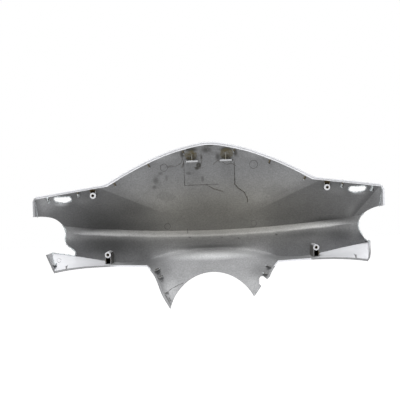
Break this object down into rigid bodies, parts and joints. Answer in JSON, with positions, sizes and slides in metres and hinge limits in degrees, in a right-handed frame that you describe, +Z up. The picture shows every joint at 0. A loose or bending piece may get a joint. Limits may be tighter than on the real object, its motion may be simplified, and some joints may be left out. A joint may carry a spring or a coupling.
{
  "type": "handlebar cover",
  "caption": "Front half of a scooter handlebar cover: a swept moulded shell with screw bosses, mirror slots, open grip notches and a half-round neck.",
  "frame": {"origin": "midway between the two upper screw bosses, in the plane of their faces", "axes": "+X to the rider's right, +Y forward from the parting plane into the hollow, +Z up"},
  "size_m": [0.4755, 0.077, 0.2248],
  "materials": {
    "painted_plastic": "silver paint outside and on the rim, thin grey overspray inside"
  },
  "bodies": {
    "root": {"handlebar_cover": "painted_plastic"}
  },
  "joints": []
}
